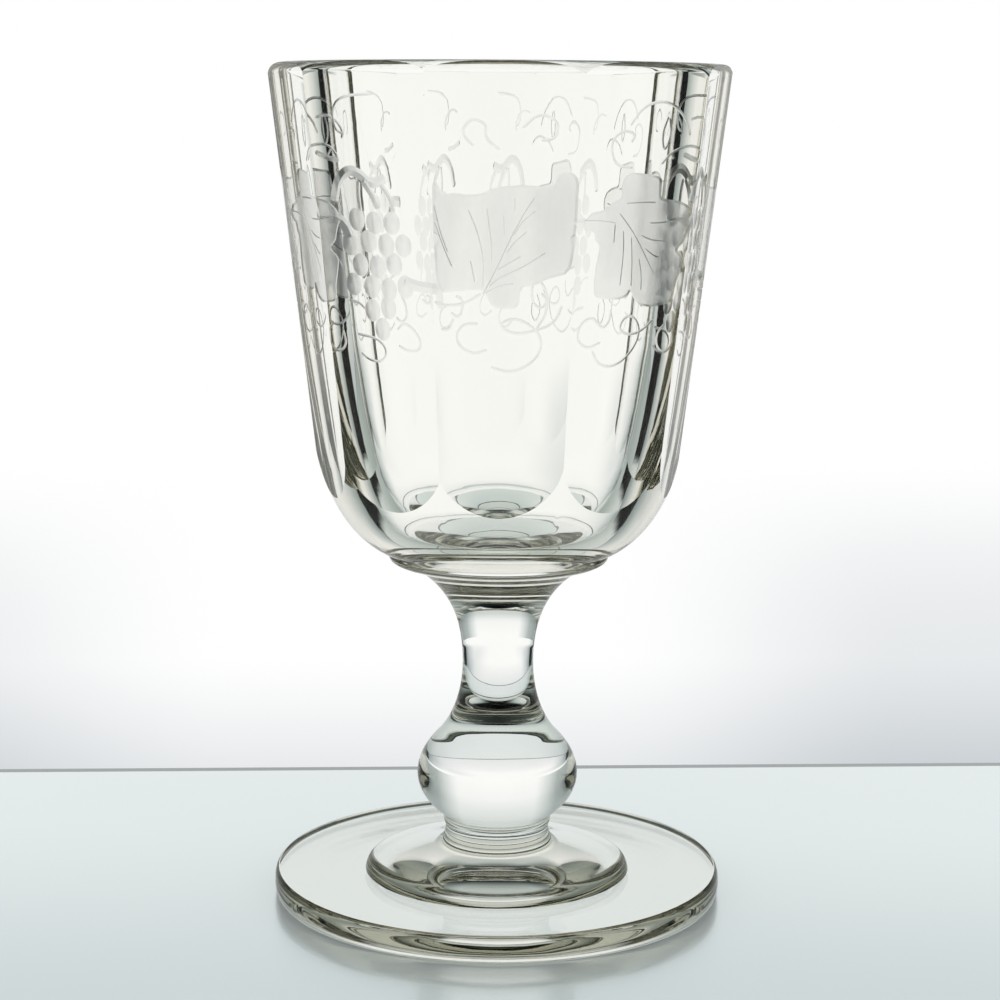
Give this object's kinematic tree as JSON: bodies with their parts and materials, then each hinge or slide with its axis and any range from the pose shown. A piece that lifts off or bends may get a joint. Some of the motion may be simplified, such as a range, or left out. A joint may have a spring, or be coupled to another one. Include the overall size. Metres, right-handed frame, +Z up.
{
  "type": "goblet",
  "caption": "Clear glass stemmed drinking goblet: panel-cut tapering bowl with an open mouth, collar, knopped solid stem and thick round foot that stands on a table.",
  "frame": {"origin": "middle of the flat underside of the foot, on the surface that the goblet stands on", "axes": "+Z up along the stem to the mouth of the bowl, -Y the front, where the middle of one cut panel faces"},
  "size_m": [0.0851, 0.085, 0.156],
  "materials": {
    "clear_glass": "polished clear glass, faintly grey, with a matt wheel-engraved band on the bowl"
  },
  "bodies": {
    "root": {"foot": "clear_glass", "wafer": "clear_glass", "stem": "clear_glass", "merese": "clear_glass", "bowl": "clear_glass"}
  },
  "joints": []
}
